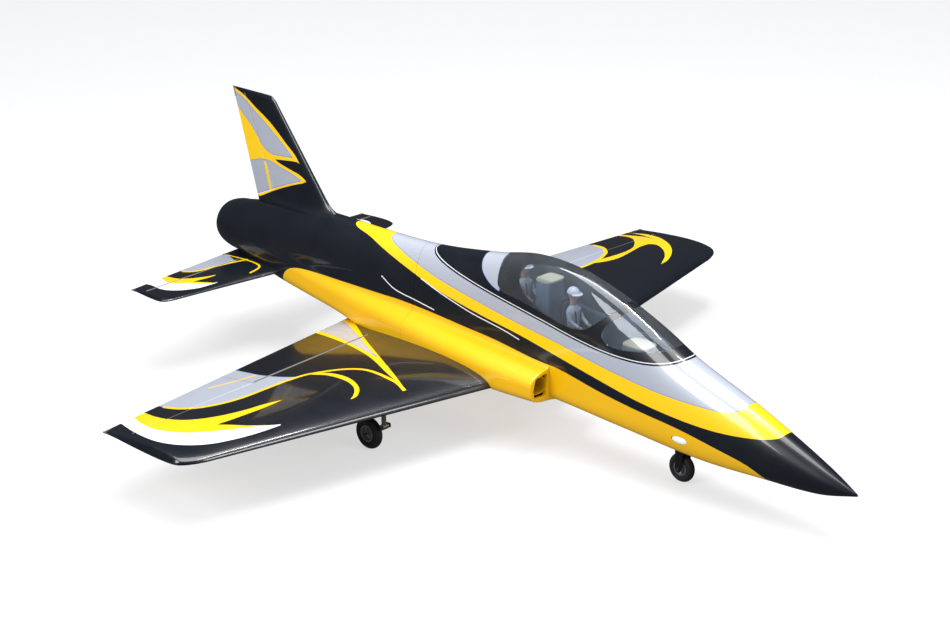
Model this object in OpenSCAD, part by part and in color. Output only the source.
// Radio controlled sport jet with a ducted fan, twin side intakes, plug-in wings and tail,
// retracting trailing-link undercarriage and a lift-off two-seat canopy hatch.
// Millimetres. The nose points to -Y, +X is the pilots' left, +Z is up, the ground is z = 0.
// Stations along the body are counted from the nose tip and moved to mid-length at the end.

/* [Wing] */
// Half of the wing span
half_span = 802.5; // [780:0.5:820]
// Height of the wing chord plane beside the body
wing_root_z = 121; // [119:0.5:123]
// Height of the wing chord plane at the tip
wing_tip_z = 133.5; // [128:0.5:140]
// Thickness of the wing section as a share of its chord
wing_t = 0.095; // [0.09:0.001:0.1]

/* [Tail] */
// Half of the tailplane span
stab_half_span = 348; // [330:1:360]
// Height of the tailplane chord plane
stab_z = 181; // [180:0.5:182]

/* [Shell] */
// Thickness of the moulded skins
skin = 2; // [1.6:0.1:2.2]
// Thickness of the rear fuselage skin
tail_skin = 1.5; // [1.4:0.1:2]
// Width of the gap round the canopy hatch
hatch_gap = 0.6; // [0.4:0.1:1]

/* [Undercarriage] */
// Radius of the nose tyre
nose_tyre_r = 30; // [28:0.5:30]
// Width of the nose tyre
nose_tyre_w = 18; // [16:0.5:18]
// Radius of a main tyre
main_tyre_r = 34; // [32:0.5:34]
// Width of a main tyre
main_tyre_w = 22; // [20:0.5:22]
// Station of the nose leg's pivot and steering axis
nose_leg_y = 410; // [408:1:412]
// Station of the main axles
main_axle_y = 991; // [989:1:993]
// Distance of the main legs' pivots from the centre plane
main_leg_x = 300; // [298:1:302]

/* [Fan] */
// Radius of the fan rotor
fan_r = 45; // [44:0.5:46]
// Number of rotor blades
blades = 9; // [5:1:12]

/* [Hidden] */
$fn = 48;

body_length = 1770;
split_y = 1112;          // where the front and the rear fuselage meet
intake_y = 716;          // front face of the two intake trunks
fan_y = 1124;            // front of the fan housing
fan_z = 238;             // height of the fan's axis
rim = 0.05;              // radial running clearance of pins and shafts

// Side view and plan view of the body, as [station, value] pairs
top_line = [[0, 103], [80, 141], [160, 176], [250, 213], [395, 265], [480, 308], [580, 349], [680, 377],
    [800, 383], [920, 360], [1085, 338], [1250, 333], [1450, 333], [1640, 312], [1720, 298], [1770, 280]];
bottom_line = [[0, 99], [80, 81], [200, 77], [350, 74], [550, 90], [716, 101], [850, 98], [1000, 96],
    [1200, 100], [1350, 126], [1550, 150], [1700, 180], [1770, 196]];
body_half_width = [[0, 1], [40, 15], [80, 25], [160, 38], [250, 48], [400, 57], [550, 61], [700, 60],
    [850, 58], [1000, 57], [1200, 56], [1450, 55], [1650, 52], [1740, 47], [1770, 42]];
centre_line = [[0, 101], [160, 120], [400, 138], [716, 140], [1000, 142], [1200, 150], [1400, 172],
    [1550, 205], [1700, 236], [1770, 238]];
upper_roundness = [[0, 1.9], [250, 2.2], [400, 2.4], [700, 2.4], [1000, 2.3], [1300, 2.2], [1770, 2.05]];
lower_roundness = [[0, 2], [120, 2.5], [400, 3], [716, 3.4], [1200, 3.2], [1500, 2.6], [1770, 2.05]];
// The intake trunks that stand out from the body sides
trunk_half_width = [[716, 116], [800, 117], [900, 114], [1000, 106], [1100, 95], [1200, 83], [1300, 71],
    [1400, 62], [1500, 57], [1600, 53], [1700, 46], [1770, 38]];
trunk_top = [[716, 178], [850, 186], [1000, 194], [1150, 200], [1300, 206], [1450, 216], [1600, 245],
    [1770, 262]];
trunk_bottom = [[716, 106], [850, 100], [1000, 97], [1200, 101], [1350, 130], [1550, 156], [1700, 190],
    [1770, 206]];
trunk_roundness = 3.4;
blend_power = 14;        // higher makes the crease between body and trunk sharper
// Lower edge of the canopy hatch, seen from the side
hatch_line = [[393, 268], [420, 257], [462, 248], [516, 244], [584, 246], [663, 255], [738, 267],
    [816, 278], [905, 290], [961, 299], [1014, 309], [1058, 321], [1078, 331], [1086, 341]];
ring_points = 40;

// ---- curves and lofts ----
function span_of(t, c, i = 0) = (i >= len(c) - 2 || t < c[i + 1][0]) ? i : span_of(t, c, i + 1);
function slope_at(c, i) = let (a = max(i - 1, 0), b = min(i + 1, len(c) - 1))
    (c[b][1] - c[a][1]) / (c[b][0] - c[a][0]);
function curve(t, c) =
    let (i = span_of(t, c), h = c[i + 1][0] - c[i][0], u = min(max((t - c[i][0]) / h, 0), 1))
    (2 * u * u * u - 3 * u * u + 1) * c[i][1] + (u * u * u - 2 * u * u + u) * h * slope_at(c, i)
    + (3 * u * u - 2 * u * u * u) * c[i + 1][1] + (u * u * u - u * u) * h * slope_at(c, i + 1);
function steps(a, b, n) = [for (i = [0:n]) a + (b - a) * i / n];

// Distance from the centre to a rounded rectangle of half width w and half height h
function rounded(w, h, n, a) = pow(pow(abs(cos(a)) / w, n) + pow(abs(sin(a)) / h, n), -1 / n);
function body_r(y, a) = sin(a) >= 0
    ? rounded(curve(y, body_half_width), curve(y, top_line) - curve(y, centre_line),
        curve(y, upper_roundness), a)
    : rounded(curve(y, body_half_width), curve(y, centre_line) - curve(y, bottom_line),
        curve(y, lower_roundness), a);
function trunk_r(y, a) = sin(a) >= 0
    ? rounded(curve(y, trunk_half_width), curve(y, trunk_top) - curve(y, centre_line), trunk_roundness, a)
    : rounded(curve(y, trunk_half_width), curve(y, centre_line) - curve(y, trunk_bottom),
        trunk_roundness, a);
function full_r(y, a) =
    pow(pow(body_r(y, a), blend_power) + pow(trunk_r(y, a), blend_power), 1 / blend_power);
function ring(y, inset, with_trunk) = [for (k = [0:ring_points - 1]) let (a = k * 360 / ring_points,
    r = max((with_trunk ? full_r(y, a) : body_r(y, a)) - inset, 0.2))
    [r * cos(a), y, curve(y, centre_line) + r * sin(a)]];

function loft_faces(m, n, flip) = concat(
    [for (i = [0:m - 2]) for (j = [0:n - 1]) let (a = i * n + j, b = i * n + (j + 1) % n)
        flip ? [a, a + n, b + n, b] : [a, b, b + n, a + n]],
    [flip ? [for (j = [0:n - 1]) j] : [for (j = [n - 1:-1:0]) j]],
    [flip ? [for (j = [n - 1:-1:0]) (m - 1) * n + j] : [for (j = [0:n - 1]) (m - 1) * n + j]]);
module loft(rings, flip = false)
    polyhedron([for (r = rings) for (p = r) p], loft_faces(len(rings), len(rings[0]), flip), convexity = 6);
// Everything is drawn by station and then moved so that mid-length is y = 0
module placed() translate([0, -body_length / 2, 0]) children();
// A skin that is rebuilt as one smooth moulded surface
module moulded() resize([0, 0, 0]) render() children();
// A cylinder lying across the body (x) or along it (y)
module across(r, l, centre = true) rotate([0, 90, 0]) cylinder(r = r, h = l, center = centre);
module along(r, l, centre = true) rotate([-90, 0, 0]) cylinder(r = r, h = l, center = centre);
module both_sides() { children(); mirror([1, 0, 0]) children(); }
// A side-view outline, given as [station, z], made into a slab across the body
module side_slab(points, x0, x1) translate([x0, 0, 0]) rotate([90, 0, 90])
    linear_extrude(x1 - x0) polygon(points);

// ---- fuselage ----
nose_stations = [0, 12, 35, 80, 130, 190, 250, 310, 370, 430, 490, 550, 620, 680, intake_y];
trunk_stations = concat([intake_y], steps(760, split_y, 8));
tail_stations = concat(steps(split_y, 1730, 14), [1752, body_length]);

module outer_front(inset) {
    loft([for (y = nose_stations) ring(y == 0 ? inset * 3 : y, inset, false)]);
    translate([0, -0.2, 0]) loft([for (y = trunk_stations) ring(y, inset, true)]);
}
module intake_mouth(depth) for (side = [-1, 1]) translate([0, intake_y - 20, 0]) rotate([-90, 0, 0])
    linear_extrude(depth) offset(r = 4) polygon([[side * 68, -168], [side * 100, -163], [side * 107, -138],
        [side * 103, -124], [side * 74, -122]]);
module hatch_opening(gap) side_slab(concat([for (p = hatch_line) [p[0], p[1] - gap]],
    [[1086 + gap, 430], [393 - gap, 430]]), -90, 90);

module front_fuselage() color("gold") placed() moulded() difference() {
    union() {
        outer_front(0);
        wing_saddle(700, split_y);
    }
    loft([for (y = concat([14], [for (s = nose_stations) if (s > 20) s])) ring(y, skin, false)]);
    loft([for (y = concat([intake_y + skin], steps(760, split_y + 2, 8))) ring(y, skin, true)]);
    loft([for (y = [intake_y - 20, intake_y, intake_y + 24]) ring(y, skin, false)]);
    intake_mouth(30);
    hatch_opening(0);
    translate([-24.5, 250, 50]) cube([49, 184, 60]);
    both_sides() lens_pocket();
    joiner_bore(110);
    wing_bolt_holes();
    translate([-200, split_y, 60]) cube([400, 300, 300]);
}
// Stub of wing section that fairs the wing into the body, between two stations
module wing_saddle(y0, y1) intersection() {
    both_sides() difference() {
        loft([for (x = [20, saddle_x]) plan_ring(wing_plan, x)], true);
        loft([for (x = [18, saddle_x - 3]) cavity_ring(wing_plan, x, 0.05, 0.92, skin)], true);
    }
    translate([-150, y0, 50]) cube([300, y1 - y0, 200]);
}
module lens_pocket() translate([-56, 382, 117]) rotate([0, 90, 8]) scale([1, 2.4, 1])
    cylinder(r = 8, h = 12, center = true);
module light_lenses() color("white") placed() both_sides() translate([-54.4, 382, 117]) rotate([0, 90, 8])
    scale([1, 2.35, 1]) cylinder(r1 = 7.6, r2 = 7.6, h = 2.4, center = true);

module stab_saddle() both_sides() difference() {
    loft([for (x = [0, stab_saddle_x]) plan_ring(stab_plan, x)], true);
    loft([for (x = [-1, stab_saddle_x - 2]) cavity_ring(stab_plan, x, 0.06, 0.93, 1.6)], true);
}
module tail_hollow() loft([for (y = concat([split_y - 2], steps(split_y + 30, 1730, 14), [1760]))
    ring(y, tail_skin, true)]);
module rear_fuselage() color("#151a22") placed() moulded() difference() {
    union() {
        loft([for (y = tail_stations) ring(y, 0, true)]);
        wing_saddle(split_y, 1500);
        stab_saddle();
    }
    tail_hollow();
    translate([0, 1750, fan_z]) along(tail_hole_r, 60);
    stab_tube_bore(stab_saddle_x + 4);
    hatch_opening(0);
    wing_bolt_holes();
}

// ---- lifting surfaces ----
// A plan holds two span positions as [span, leading edge, trailing edge, height], then the
// thickness share, its upper and lower parts and the chord share of the hinge line.
saddle_x = 98;
wing_upper = 1.25;       // share of the wing's thickness above its chord plane
wing_lower = 0.75;       // and below it
wing_plan = [[saddle_x, 826, 1322, wing_root_z], [half_span, 969, 1213, wing_tip_z], wing_t,
    wing_upper, wing_lower, 0.75];
stab_saddle_x = 54;
stab_plan = [[0, 1529, 1728, stab_z], [stab_half_span, 1580, 1695, stab_z], 0.09, 1, 1, 0.68];
fin_top = 565;
fin_plan = [[333, 1411, 1665, 0], [fin_top, 1593, 1729, 0], 0.085, 1, 1, 0.72];
te_half = 0.0012;        // half thickness of the trailing edge as a share of the chord
chord_points = 11;

function at_span(plan, x, i) = plan[0][i]
    + (plan[1][i] - plan[0][i]) * (x - plan[0][0]) / (plan[1][0] - plan[0][0]);
function chord(plan, x) = at_span(plan, x, 2) - at_span(plan, x, 1);
// Half thickness of a symmetrical section of unit thickness at the chord share f
function half_t(f) = 5 * (0.2969 * sqrt(f) - 0.126 * f - 0.3516 * pow(f, 2) + 0.2843 * pow(f, 3)
    - 0.1036 * pow(f, 4));
function share(k, n) = (1 - cos(180 * k / n)) / 2;
// Section at span x, from the trailing edge over the top and back; sweep moves the leading edge
function plan_ring(plan, x, sweep = 0) =
    let (c = chord(plan, x) - sweep, le = at_span(plan, x, 1) + sweep, z = at_span(plan, x, 3),
        n = chord_points)
    concat([for (k = [n:-1:0]) let (f = share(k, n))
            [x, le + c * f, z + c * (plan[2] * plan[3] * half_t(f) + te_half)]],
        [for (k = [1:n]) let (f = share(k, n))
            [x, le + c * f, z - c * (plan[2] * plan[4] * half_t(f) + te_half)]]);
// The hollow between the skins from chord share f0 to f1
function cavity_ring(plan, x, f0, f1, wall) =
    let (c = chord(plan, x), le = at_span(plan, x, 1), z = at_span(plan, x, 3), n = 7)
    concat([for (k = [n:-1:0]) let (f = f0 + (f1 - f0) * k / n)
            [x, le + c * f, z + max(c * plan[2] * plan[3] * half_t(f) - wall, 0.3)]],
        [for (k = [0:n]) let (f = f0 + (f1 - f0) * k / n)
            [x, le + c * f, z - max(c * plan[2] * plan[4] * half_t(f) - wall, 0.3)]]);

// Point on the hinge line and the half thickness there
function hinge_point(plan, x) = [x, at_span(plan, x, 1) + plan[5] * chord(plan, x),
    at_span(plan, x, 3) + chord(plan, x) * plan[2] * half_t(plan[5]) * (plan[3] - plan[4]) / 2];
function hinge_r(plan, x) =
    chord(plan, x) * plan[2] * half_t(plan[5]) * (plan[3] + plan[4]) / 2 - hinge_margin;
hinge_margin = 0.1;
hinge_pin_r = 1.5;
hinge_pin_reach = 22;
// Turns local axes so that z runs along the line from point a to point b
module along_line(a, b) translate(a) rotate([0, 0, atan2(b[1] - a[1], b[0] - a[0])])
    rotate([0, atan2(norm([b[0] - a[0], b[1] - a[1]]), b[2] - a[2]), 0]) children();
module hinge_rod(plan, x0, x1, r) let (a = hinge_point(plan, x0), b = hinge_point(plan, x1))
    along_line(a, b) cylinder(r = r, h = norm(b - a));
module hinge_cone(plan, x0, x1, extra) let (a = hinge_point(plan, x0), b = hinge_point(plan, x1))
    along_line(a, b)
    cylinder(r1 = hinge_r(plan, x0) + extra, r2 = hinge_r(plan, x1) + extra, h = norm(b - a));
// A thick slice square to the hinge line between two span positions, grown at both ends
module hinge_slice(plan, x0, x1, grow)
    let (a = hinge_point(plan, x0), b = hinge_point(plan, x1), side = 500)
    along_line(a, b) translate([-side / 2, -side / 2, -grow]) cube([side, side, norm(b - a) + 2 * grow]);
// Section of a movable surface: the skins behind the hinge line and a round nose about the hinge
function surface_ring(plan, x) = let (c = chord(plan, x), le = at_span(plan, x, 1), z = at_span(plan, x, 3),
    h = hinge_point(plan, x), r = hinge_r(plan, x), n = 5, f = [for (k = [0:n]) 1 - (1 - plan[5]) * k / n])
    concat([for (k = [0:n]) [x, le + c * f[k], z + c * (plan[2] * plan[3] * half_t(f[k]) + te_half)]],
        [for (a = [80:-20:-80]) [x, h[1] - r * cos(a), h[2] + r * sin(a)]],
        [for (k = [n:-1:0]) [x, le + c * f[k], z - c * (plan[2] * plan[4] * half_t(f[k]) + te_half)]]);
past_ends = 60;          // how far a section is carried on before its square ends are cut
module control_surface(plan, x0, x1, ends) difference() {
    intersection() {
        loft([for (x = [x0 - past_ends, x1 + past_ends]) surface_ring(plan, x)], true);
        hinge_slice(plan, x0, x1, 0);
    }
    for (e = ends) hinge_rod(plan, e[0], e[1], hinge_pin_r + rim);
}
// The space a surface needs in its wing or fin. The lips lean forward by the angles up and low.
module surface_bay(plan, x0, x1, up, low) intersection() {
    union() {
        loft([for (x = [x0 - past_ends, x1 + past_ends]) let (h = hinge_point(plan, x), reach = 40)
            [[x, h[1], h[2]], [x, h[1] - reach * tan(up), h[2] + reach], [x, h[1] + 190, h[2] + reach],
            [x, h[1] + 190, h[2] - reach], [x, h[1] - reach * tan(low), h[2] - reach]]]);
        hinge_cone(plan, x0 - past_ends, x1 + past_ends, surface_gap);
    }
    hinge_slice(plan, x0, x1, surface_gap);
}

// ---- wing ----
surface_gap = 1;
// How far the lips ahead of a surface lean forward: the flap's upper and lower lip, then the others
flap_lips = [3, 47];
even_lips = 22;
rudder_lips = 32;
flap_x0 = 112;
split_x = 452;           // fixed rib between flap and aileron
half_rib = 2.2;          // from the middle of that rib to the surfaces on either side
aileron_x1 = 778;
stab_x0 = 66;
stab_x1 = stab_half_span - 12;
rudder_z0 = 350;
rudder_z1 = 555;
tip_round = 60;          // length of the rounded leading edge corner at the tip
tip_back = 26;           // how far that corner is drawn back
gear_pivot_z = 130;
main_strut_y = main_axle_y - 41;
main_link_z = 58;
wing_joiner = [1072, 128, 9];   // station, height and radius of the wing tube
stab_joiner = [1620, stab_z, 4];
wing_bolt_y = [900, 1225];
wing_bolt_z = 124;
tail_hole_r = 36;

function tip_sweep(x, x1, reach, back) = let (d = max(x - (x1 - reach), 0) / reach)
    back * (1 - sqrt(max(1 - d * d, 0)));
tip_steps = [1, 0.75, 0.5, 0.27, 0.1, 0];

tube_play = 0.15;        // radial play of the joiner tubes in the skins
module joiner_bore(reach) translate([0, wing_joiner[0], wing_joiner[1]])
    across(wing_joiner[2] + tube_play, 2 * reach);
module stab_tube_bore(reach) translate([0, stab_joiner[0], stab_joiner[1]])
    across(stab_joiner[2] + tube_play, 2 * reach);
module wing_bolt_holes() for (y = wing_bolt_y) translate([0, y, wing_bolt_z]) across(2.7, 230);

well_top = 145.5;
module main_well(extra) let (wheel_x = main_leg_x - (gear_pivot_z - main_tyre_r),
    h = well_top - 90 + extra) {
    for (shift = [0, 13]) translate([wheel_x + shift, main_axle_y + shift * 0.4, 90])
        cylinder(r = main_tyre_r + 3 + extra, h = h);
    translate([wheel_x, main_strut_y - 15 - extra, 90]) cube([112 + extra, 55 + extra, h]);
    translate([main_leg_x - 8, main_strut_y - 15 - extra, 90]) cube([56 + extra, 30 + 2 * extra, h]);
}
module wing_panel() difference() {
    moulded() difference() {
        union() {
            difference() {
                loft([for (x = concat([saddle_x + 0.3], [for (t = tip_steps) half_span - tip_round * t]))
                    plan_ring(wing_plan, x, tip_sweep(x, half_span, tip_round, tip_back))], true);
                for (bay = [[saddle_x + 3, 236], [239, 440], [443, 620], [623, half_span - tip_round - 4]])
                    loft([for (x = bay) cavity_ring(wing_plan, x, 0.04, wing_plan[5] - 0.065, skin)], true);
            }
            intersection() {
                loft([for (x = [saddle_x + 0.3, 500]) plan_ring(wing_plan, x)], true);
                main_well(skin);
            }
        }
        main_well(0);
        // The ribs are cut through, from the open root to the last bay
        loft([for (x = [saddle_x - 1, half_span - tip_round - 6])
            cavity_ring(wing_plan, x, 0.07, 0.2, skin + 2)], true);
        surface_bay(wing_plan, flap_x0, split_x - half_rib, flap_lips[0], flap_lips[1]);
        surface_bay(wing_plan, split_x + half_rib, aileron_x1, even_lips, even_lips);
        loft([for (y = trunk_stations) ring(y, -0.1, true)]);
    }
    hinge_rod(wing_plan, flap_x0 - 12, flap_x0, hinge_pin_r + rim);
    hinge_rod(wing_plan, split_x - 5, split_x + 5, hinge_pin_r + rim);
    hinge_rod(wing_plan, aileron_x1, aileron_x1 + 13, hinge_pin_r + rim);
    joiner_bore(wing_tube_reach + 1);
    wing_bolt_holes();
}
wing_tube_reach = 345;
aileron_ends = [[split_x - 1, split_x + hinge_pin_reach + 3],
    [aileron_x1 - hinge_pin_reach - 3, aileron_x1 + 1]];
flap_ends = [[flap_x0 - 1, flap_x0 + hinge_pin_reach + 3],
    [split_x - hinge_pin_reach - 3, split_x + 1]];
module aileron() control_surface(wing_plan, split_x + half_rib, aileron_x1, aileron_ends);
module flap() control_surface(wing_plan, flap_x0, split_x - half_rib, flap_ends);
module wing_panel_left() color("#10141c") placed() wing_panel();
module wing_panel_right() color("#10141c") placed() mirror([1, 0, 0]) wing_panel();
module aileron_left() color("silver") placed() aileron();
module aileron_right() color("silver") placed() mirror([1, 0, 0]) aileron();
module flap_left() color("silver") placed() flap();
module flap_right() color("silver") placed() mirror([1, 0, 0]) flap();
// Plywood webs at the thickest part of the wing, with the joiner tube passing behind them
spar_f = 0.43;
module wing_spars() color("burlywood") placed() both_sides() for (bay = [[444, 619], [624, 730]])
    spar_web(bay[0], bay[1]);
module spar_web(x0, x1) let (web = [for (x = [x0, x1])
    let (c = chord(wing_plan, x) * wing_t * half_t(spar_f), z = at_span(wing_plan, x, 3))
    [x, z + c * wing_upper - skin - 1, z - c * wing_lower + skin + 1]])
    translate([0, at_span(wing_plan, x0, 1) + spar_f * chord(wing_plan, x0) + 4, 0]) rotate([90, 0, 0])
    linear_extrude(4) polygon([[web[0][0], web[0][1]], [web[1][0], web[1][1]],
        [web[1][0], web[1][2]], [web[0][0], web[0][2]]]);
module wing_joiner_tube() color("dimgray") placed() translate([0, wing_joiner[0], wing_joiner[1]])
    difference() {
    across(wing_joiner[2], 2 * wing_tube_reach);
    across(wing_joiner[2] - 1.5, 2 * wing_tube_reach + 2);
}
module wing_tube_carrier() color("burlywood") placed() difference() {
    translate([-70, wing_joiner[0] - 16, 108]) cube([140, 32, 40]);
    translate([0, wing_joiner[0], wing_joiner[1]]) across(wing_joiner[2] + rim, 150);
}
module wing_bolts() color("gray") placed() both_sides() for (y = wing_bolt_y)
    translate([saddle_x - 7, y, wing_bolt_z]) {
        across(4.2, 3.8, false);
        across(2.5, 17, false);
    }
module hinge_pins() color("lightgray") placed() {
    both_sides() {
        hinge_rod(wing_plan, flap_x0 - 11, flap_x0 + hinge_pin_reach, hinge_pin_r);
        hinge_rod(wing_plan, split_x - hinge_pin_reach, split_x + hinge_pin_reach, hinge_pin_r);
        hinge_rod(wing_plan, aileron_x1 - hinge_pin_reach, aileron_x1 + 12, hinge_pin_r);
        hinge_rod(stab_plan, stab_x0 - 9, stab_x0 + hinge_pin_reach, hinge_pin_r);
        hinge_rod(stab_plan, stab_x1 - hinge_pin_reach, stab_x1 + 8, hinge_pin_r);
    }
    upright() hinge_rod(fin_plan, rudder_z0 - 9, rudder_z0 + hinge_pin_reach, hinge_pin_r);
    upright() hinge_rod(fin_plan, rudder_z1 - hinge_pin_reach, rudder_z1 + 6, hinge_pin_r);
}
// ---- tail ----
// Stands a surface on its root: span runs up
module upright() rotate([0, -90, 0]) children();
module stab_panel() difference() {
    moulded() difference() {
        loft([for (x = concat([stab_saddle_x + 0.3], [for (t = tip_steps) stab_half_span - 26 * t]))
            plan_ring(stab_plan, x, tip_sweep(x, stab_half_span, 26, 12))], true);
        for (bay = [[stab_saddle_x + 3, 180], [183, stab_half_span - 30]])
            loft([for (x = bay) cavity_ring(stab_plan, x, 0.06, stab_plan[5] - 0.08, 1.5)], true);
        loft([for (x = [stab_saddle_x - 1, stab_half_span - 32])
            cavity_ring(stab_plan, x, 0.12, 0.3, 2.2)], true);
        surface_bay(stab_plan, stab_x0, stab_x1, even_lips, even_lips);
        loft([for (y = tail_stations) ring(y, -0.1, true)]);
    }
    hinge_rod(stab_plan, stab_x0 - 10, stab_x0, hinge_pin_r + rim);
    hinge_rod(stab_plan, stab_x1, stab_x1 + 9, hinge_pin_r + rim);
    stab_tube_bore(171);
}
stab_ends = [[stab_x0 - 1, stab_x0 + hinge_pin_reach + 2], [stab_x1 - hinge_pin_reach - 2, stab_x1 + 1]];
module elevator() control_surface(stab_plan, stab_x0, stab_x1, stab_ends);
module stab_left() color("#10141c") placed() stab_panel();
module stab_right() color("#10141c") placed() mirror([1, 0, 0]) stab_panel();
module elevator_left() color("silver") placed() elevator();
module elevator_right() color("silver") placed() mirror([1, 0, 0]) elevator();
module stab_joiner_tube() color("dimgray") placed() translate([0, stab_joiner[0], stab_joiner[1]])
    across(stab_joiner[2], 2 * 170);
fin_root_stations = [[292, -78], [318, -78], [323, -48], [329, -24], [336, -10], [347, -2], [360, 0]];
module fin() color("#10141c") placed() difference() {
    moulded() difference() {
        upright() difference() {
            loft(concat([for (s = fin_root_stations) plan_ring(fin_plan, s[0], s[1])],
                [for (t = tip_steps) let (z = fin_top - 16 * t)
                    plan_ring(fin_plan, z, tip_sweep(z, fin_top, 16, 7))]), true);
            loft([for (z = [346, 530]) cavity_ring(fin_plan, z, 0.08, fin_plan[5] - 0.08, 1.5)], true);
            loft([for (z = [290, 526]) cavity_ring(fin_plan, z, 0.2, 0.45, 2.2)], true);
            surface_bay(fin_plan, rudder_z0, rudder_z1, rudder_lips, rudder_lips);
        }
        loft([for (y = tail_stations) ring(y, -0.1, true)]);
    }
    upright() hinge_rod(fin_plan, rudder_z0 - 10, rudder_z0, hinge_pin_r + rim);
    upright() hinge_rod(fin_plan, rudder_z1, rudder_z1 + 7, hinge_pin_r + rim);
}
rudder_ends = [[rudder_z0 - 1, rudder_z0 + hinge_pin_reach + 2],
    [rudder_z1 - hinge_pin_reach - 2, rudder_z1 + 1]];
module rudder() color("silver") placed() upright()
    control_surface(fin_plan, rudder_z0, rudder_z1, rudder_ends);

// ---- fan and ducts ----
duct_wall = 1.4;
duct_y = intake_y + 4;
duct_end_y = fan_y - 12;
shroud_r = fan_r + 1.3;
housing_length = 60;
// Duct section: a rounded square at the mouth that becomes half of the fan's circle
function eased(u) = let (v = min(max(u, 0), 1)) v * v * (3 - 2 * v);
function duct_ring(u, inset) = let (n = 20, inward = eased(u / 0.8), rise = eased((u - 0.2) / 0.8),
    shape = eased((u - 0.35) / 0.65), y = duct_y + (duct_end_y - duct_y) * u, r_end = shroud_r - inset)
    [for (k = [0:n - 1]) let (a = 360 * k / n, mouth = rounded(18 - inset, 18 - inset, 3.4, a),
        wide = (1 - shape) * mouth * cos(a) + shape * max(abs(a - 180) < 90 ? 0 : r_end * cos(a), inset),
        tall = (1 - shape) * mouth * sin(a) + shape * r_end * sin(a))
        [max(88 + (2.2 - 88) * inward, 2.2 + 18 * (1 - shape)) + wide, y,
            146 + (fan_z - 146) * rise + tall]];
module intake_duct() moulded() difference() {
    loft([for (u = steps(0, 1, 9)) duct_ring(u, 0)]);
    loft([for (u = steps(-0.001, 1.001, 9)) duct_ring(u, duct_wall)]);
}
module intake_duct_left() color("#2a2c30") placed() intake_duct();
module intake_duct_right() color("#2a2c30") placed() mirror([1, 0, 0]) intake_duct();
hub_r = 20;
stator_vanes = 7;
module fan_housing() color("#3a3d42") placed() translate([0, fan_y, fan_z]) {
    difference() {
        translate([0, duct_end_y - fan_y + 0.5, 0])
            along(shroud_r + 2.2, housing_length - 0.5 - duct_end_y + fan_y, false);
        translate([0, -20, 0]) along(shroud_r, housing_length + 22, false);
    }
    difference() {
        translate([0, 30, 0]) along(hub_r, 30, false);
        translate([0, 29, 0]) along(hub_r - 2, 28, false);
    }
    for (k = [0:stator_vanes - 1]) rotate([0, 360 * k / stator_vanes, 0])
        translate([hub_r - 0.5, 38, -1]) cube([shroud_r - hub_r + 1, 18, 2]);
}
module fan_motor() color("#b04020") placed() translate([0, fan_y + 31, fan_z]) difference() {
    along(hub_r - 2.4, 24, false);
    translate([0, -1, 0]) along(2.5 + rim, 21, false);
}
module fan_rotor() color("#17191d") placed() translate([0, fan_y + 8, fan_z]) {
    along(2.5, 40, false);
    along(hub_r - 1, 20, false);
    translate([0, -16, 0]) rotate([-90, 0, 0]) cylinder(r1 = 4, r2 = hub_r - 1, h = 16);
    for (k = [0:blades - 1]) rotate([0, 360 * k / blades, 0]) translate([hub_r - 3, 10, 0])
        rotate([38, 0, 0]) translate([0, -9, -0.8]) cube([fan_r - hub_r + 2.4, 18, 1.6]);
}
module thrust_tube() color("#c8ccd0") placed()
    translate([0, fan_y + housing_length + 0.5, fan_z]) rotate([-90, 0, 0])
    let (l = 1757 - fan_y - housing_length) difference() {
        cylinder(r1 = shroud_r + 1, r2 = tail_hole_r + 1, h = l);
        translate([0, 0, -0.01]) cylinder(r1 = shroud_r, r2 = tail_hole_r, h = l + 0.02);
    }

// ---- inside the fuselage ----
module former(y, inset, z_limit, trunk) translate([0, y + 4, 0]) rotate([90, 0, 0])
    linear_extrude(4) intersection() {
    polygon([for (p = ring(y, inset, trunk)) [p[0], p[2]]]);
    translate([-150, 0]) square([300, z_limit]);
}
module nose_former() color("burlywood") placed() difference() {
    former(438, 3.5, 238, false);
    translate([0, 440, 170]) along(18, 20);
}
module battery_former() color("burlywood") placed() difference() {
    former(694, 3.5, 200, false);
    translate([0, 696, 172]) along(16, 20);
}
module tail_former() color("burlywood") placed() difference() {
    former(1580, 3.5, 400, true);
    translate([0, 1582, fan_z]) along(43, 20);
}
module equipment_tray() color("burlywood") placed() translate([-40, 446, 112]) cube([80, 244, 3]);
module battery_packs() color("#2255aa") placed() both_sides() translate([3, 452, 115.2])
    cube([36, 165, 46]);
module speed_controller() color("#333333") placed() translate([-36, 632, 115.2]) {
    cube([34, 52, 12]);
    for (k = [0:5]) translate([2 + 6 * k, 4, 11]) cube([2, 44, 8]);
}
module receiver() color("#404858") placed() translate([8, 640, 115.2]) cube([26, 40, 14]);
module servo_body(size) {
    cube(size);
    translate([size[0] / 2, size[1] * 0.25, size[2] - 0.5]) cylinder(r = 3, h = 3.5);
}
module servos() color("#1c1c1c") placed() {
    both_sides() {
        translate([400, 1106, 120.5]) servo_body([28, 24, 10]);
        translate([590, 1098, 126]) servo_body([24, 22, 8]);
        translate([18, 1480, 166]) servo_body([12, 30, 16]);
    }
    translate([-6, 1440, 289]) servo_body([12, 30, 14]);
    translate([30, 380, 140]) servo_body([12, 30, 18]);
}

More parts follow.
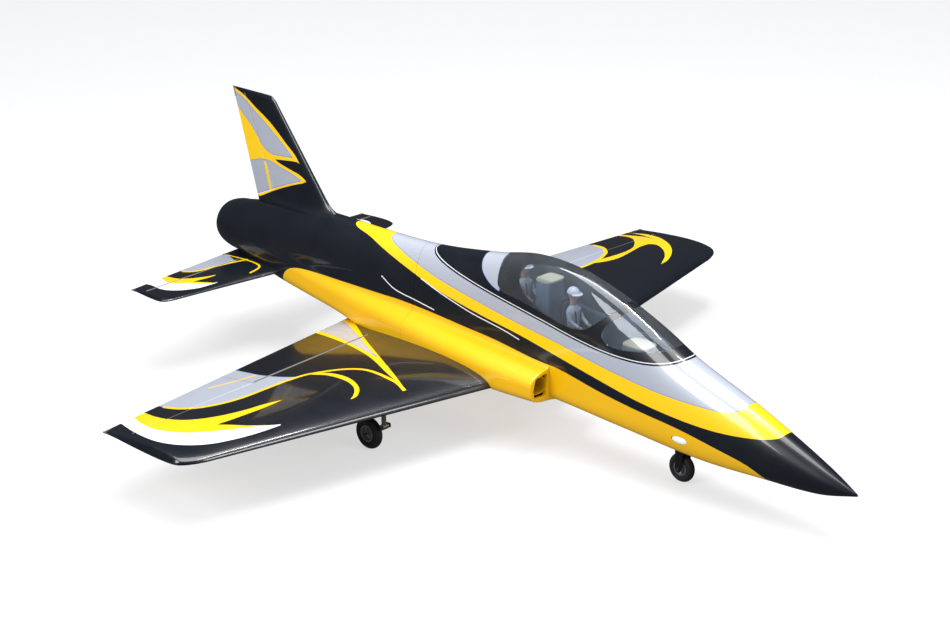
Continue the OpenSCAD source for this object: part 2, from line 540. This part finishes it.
// ---- undercarriage ----
rim_share = 0.52;        // hub radius as a share of the tyre radius
module tyre(r, w) let (c = w / 2) rotate([0, 90, 0]) rotate_extrude($fn = 64) {
    difference() {
        union() {
            translate([r - c, 0]) circle(c);
            translate([r * rim_share, -c * 0.75]) square([r * (1 - rim_share) - c, w * 0.75]);
        }
        translate([0, -w]) square([r * rim_share + 0.06, 2 * w]);
    }
}
module hub(r, w, bore, holes) difference() {
    union() {
        difference() {
            across(r, w);
            translate([w / 2, 0, 0]) across(r - 2.5, w * 0.6);
            translate([-w / 2, 0, 0]) across(r - 2.5, w * 0.6);
        }
        across(bore + 3, w);
    }
    across(bore + rim, w + 2);
    for (k = [0:holes - 1]) rotate([360 * k / holes, 0, 0]) translate([0, 0, (r + bore) / 2 + 0.6])
        across(r * 0.16, w + 2);
}
nose_pivot_z = 150;
nose_axle_y = nose_leg_y + 8;
trunnion_r = 6;
pivot_pin_r = 2;
strut_bore = 3.5;
axle_r = 2.5;
module nose_retract_unit() color("#5a5f66") placed() difference() {
    translate([-18, nose_leg_y - 8, 140]) cube([36, 32, 26]);
    translate([-7.3, nose_leg_y - 20, 130]) cube([14.6, 27, 27]);
    translate([0, nose_leg_y, nose_pivot_z]) across(pivot_pin_r + 0.01, 40);
}
module main_retract_units() color("#5a5f66") placed() both_sides() difference() {
    translate([main_leg_x - 7, main_strut_y - 14, 114]) cube([51, 28, 31]);
    translate([main_leg_x - 20, main_strut_y - 7.3, 100]) cube([28, 14.6, 60]);
    translate([main_leg_x, main_strut_y, gear_pivot_z]) along(pivot_pin_r + 0.01, 40);
}
module gear_pivot_pins() color("lightgray") placed() {
    both_sides() translate([main_leg_x, main_strut_y, gear_pivot_z]) along(pivot_pin_r, 28);
    translate([0, nose_leg_y, nose_pivot_z]) across(pivot_pin_r, 36);
}
module nose_leg() color("silver") placed() translate([0, nose_leg_y, 0]) difference() {
    union() {
        translate([0, 0, nose_pivot_z]) across(trunnion_r, 14);
        translate([0, 0, 92]) cylinder(r = 6, h = nose_pivot_z - 92);
        translate([0, 0, 92]) cylinder(r = 7, h = 6);
    }
    translate([0, 0, nose_pivot_z]) across(pivot_pin_r + rim, 20);
    translate([0, 0, 90]) cylinder(r = strut_bore + rim, h = 36);
}
module nose_fork() color("#202226") placed() difference() {
    union() {
        translate([0, nose_leg_y, 66]) cylinder(r = strut_bore, h = 56);
        translate([-14.2, nose_leg_y - 7, 65]) cube([28.4, 22, 7]);
        for (x = [-14.2, 11.2])
            side_slab([[nose_leg_y - 5, 66], [nose_leg_y + 15, 66], [nose_axle_y + 6, 30],
                [nose_axle_y + 3, 24], [nose_axle_y - 4, 24], [nose_axle_y - 7, 30]], x, x + 3);
    }
    translate([0, nose_axle_y, nose_tyre_r]) across(axle_r + 0.01, 40);
}
module nose_axle() color("lightgray") placed() translate([0, nose_axle_y, nose_tyre_r]) across(axle_r, 32);
module nose_hub() color("#8d949c") placed() translate([0, nose_axle_y, nose_tyre_r])
    hub(nose_tyre_r * rim_share, 14, axle_r, 5);
module nose_tyre() color("#15161a") placed() translate([0, nose_axle_y, nose_tyre_r])
    tyre(nose_tyre_r, nose_tyre_w);

main_wheel_x = main_leg_x + 3;
link_plate_x = main_leg_x - 14;
link_pin_r = 2.5;
module main_leg() color("silver") placed() difference() {
    union() {
        translate([main_leg_x, main_strut_y, gear_pivot_z]) along(trunnion_r, 14);
        translate([main_leg_x, main_strut_y, main_link_z]) cylinder(r = 5, h = gear_pivot_z - main_link_z);
        translate([main_leg_x - 9, main_strut_y, main_link_z]) across(6, 15, false);
    }
    translate([main_leg_x, main_strut_y, gear_pivot_z]) along(pivot_pin_r + rim, 20);
    translate([main_leg_x, main_strut_y, main_link_z]) across(link_pin_r + rim, 30);
}
module main_link() color("#202226") placed() {
    side_slab([[main_strut_y - 6, main_link_z - 3], [main_strut_y - 5, main_link_z + 5],
        [main_strut_y + 5, main_link_z + 5], [main_axle_y + 6, main_tyre_r + 2],
        [main_axle_y + 4, main_tyre_r - 5], [main_axle_y - 5, main_tyre_r - 5],
        [main_strut_y - 1, main_link_z - 6]], link_plate_x, link_plate_x + 4);
    translate([link_plate_x + 2, main_strut_y, main_link_z]) across(link_pin_r, 19, false);
    translate([link_plate_x + 2, main_axle_y, main_tyre_r]) across(axle_r, 28, false);
}
module main_hub() color("#8d949c") placed() translate([main_wheel_x, main_axle_y, main_tyre_r])
    hub(main_tyre_r * rim_share, 16, axle_r, 5);
module main_tyre() color("#15161a") placed() translate([main_wheel_x, main_axle_y, main_tyre_r])
    tyre(main_tyre_r, main_tyre_w);
module main_leg_left() main_leg();
module main_leg_right() mirror([1, 0, 0]) main_leg();
module main_link_left() main_link();
module main_link_right() mirror([1, 0, 0]) main_link();
module main_hub_left() main_hub();
module main_hub_right() mirror([1, 0, 0]) main_hub();
module main_tyre_left() main_tyre();
module main_tyre_right() mirror([1, 0, 0]) main_tyre();

// ---- canopy hatch ----
// Side-view outlines of the two clear panes
windshield_outline = [[426, 284], [450, 275], [490, 268], [536, 262], [568, 264], [584, 274], [584, 290],
    [574, 304], [556, 320], [540, 336], [536, 370], [420, 370]];
main_pane_outline = [[560, 337], [577, 321], [597, 304], [610, 292], [628, 281], [652, 276], [692, 277],
    [748, 287], [804, 296], [848, 300], [866, 306], [876, 325], [877, 400], [556, 400]];
hatch_stations = concat(steps(388, 1096, 24));
module canopy_skin(outer, inner) difference() {
    loft([for (y = hatch_stations) ring(y, outer, false)]);
    loft([for (y = hatch_stations) ring(y + (y < 400 ? -1 : y > 1090 ? 1 : 0), inner, false)]);
}
module pane(outline, grow) translate([-90, 0, 0]) rotate([90, 0, 90]) linear_extrude(180)
    offset(delta = grow) polygon(outline);
module canopy_frame() color("#0c0e14") placed() moulded() difference() {
    intersection() {
        canopy_skin(0, skin);
        hatch_opening(-hatch_gap);
    }
    pane(windshield_outline, 0);
    pane(main_pane_outline, 0);
}
module clear_pane(outline) moulded() intersection() {
    canopy_skin(skin + 0.1, skin + 1.1);
    pane(outline, 4);
    hatch_opening(-hatch_gap - 1);
}
module windshield() color("lightblue", 0.4) placed() clear_pane(windshield_outline);
module canopy_glass() color("lightblue", 0.4) placed() clear_pane(main_pane_outline);
tub_z = 206;
// Everything below a line that runs a little above the hatch edge
module below_sill(rise) side_slab(concat([[hatch_line[1][0], 150]], [for (k = [1:len(hatch_line) - 4])
    [hatch_line[k][0], hatch_line[k][1] + rise]], [[hatch_line[len(hatch_line) - 4][0], 150]]), -90, 90);
// Box between the seats' floor and the sill, with a thin sill plate out to the canopy frame
module cockpit_tub() color("#3b4654") placed() difference() {
    union() {
        intersection() {
            translate([-40, 486, tub_z]) cube([80, 382, 110]);
            below_sill(7);
        }
        moulded() intersection() {
            loft([for (y = steps(480, 874, 8)) ring(y, skin + 0.6, false)]);
            difference() {
                below_sill(7);
                below_sill(5);
            }
        }
    }
    translate([-38.4, 487.6, tub_z + 1.6]) cube([76.8, 378.8, 120]);
}
module instrument_coamings() color("#20242c") placed() {
    // each as station, length, height and half width
    for (c = [[500, 62, 56, 24], [746, 44, 136, 26]])
        translate([-c[3], c[0], tub_z + 1.8]) cube([2 * c[3], c[1], c[2]]);
}
seat_y = [700, 834];
seat_rise = [18, 44];
module seats() color("#2b2f36") placed() for (k = [0, 1]) translate([0, seat_y[k], tub_z + 1.8]) {
    translate([-20, -34, 0]) cube([40, 58, 8 + seat_rise[k]]);
    translate([-18, 22, 0]) cube([36, 8, 84 + seat_rise[k]]);
}
module pilot(k) translate([0, seat_y[k], tub_z + 10.2 + seat_rise[k]]) {
    translate([-17, -8, 0]) cube([34, 26, 62]);
    translate([0, 5, 61]) cylinder(r = 8, h = 14);
    translate([0, 4, 88]) sphere(r = 16);
    for (x = [-15, 5]) translate([x, -32, 0]) cube([10, 26, 14]);
}
module front_pilot() color("whitesmoke") placed() pilot(0);
module rear_pilot() color("whitesmoke") placed() pilot(1);

front_fuselage();
rear_fuselage();
light_lenses();
intake_duct_left();
intake_duct_right();
fan_housing();
fan_motor();
thrust_tube();
nose_former();
battery_former();
wing_tube_carrier();
tail_former();
equipment_tray();
battery_packs();
speed_controller();
receiver();
servos();
wing_joiner_tube();
wing_panel_left();
wing_panel_right();
wing_spars();
wing_bolts();
hinge_pins();
fin();
stab_left();
stab_right();
stab_joiner_tube();
nose_retract_unit();
main_retract_units();
gear_pivot_pins();
aileron_left();
aileron_right();
flap_left();
flap_right();
elevator_left();
elevator_right();
rudder();
fan_rotor();
nose_leg();
nose_fork();
nose_hub();
nose_tyre();
main_leg_left();
main_link_left();
main_hub_left();
main_tyre_left();
main_leg_right();
main_link_right();
main_hub_right();
main_tyre_right();
canopy_frame();
windshield();
canopy_glass();
cockpit_tub();
instrument_coamings();
seats();
front_pilot();
rear_pilot();
nose_axle();
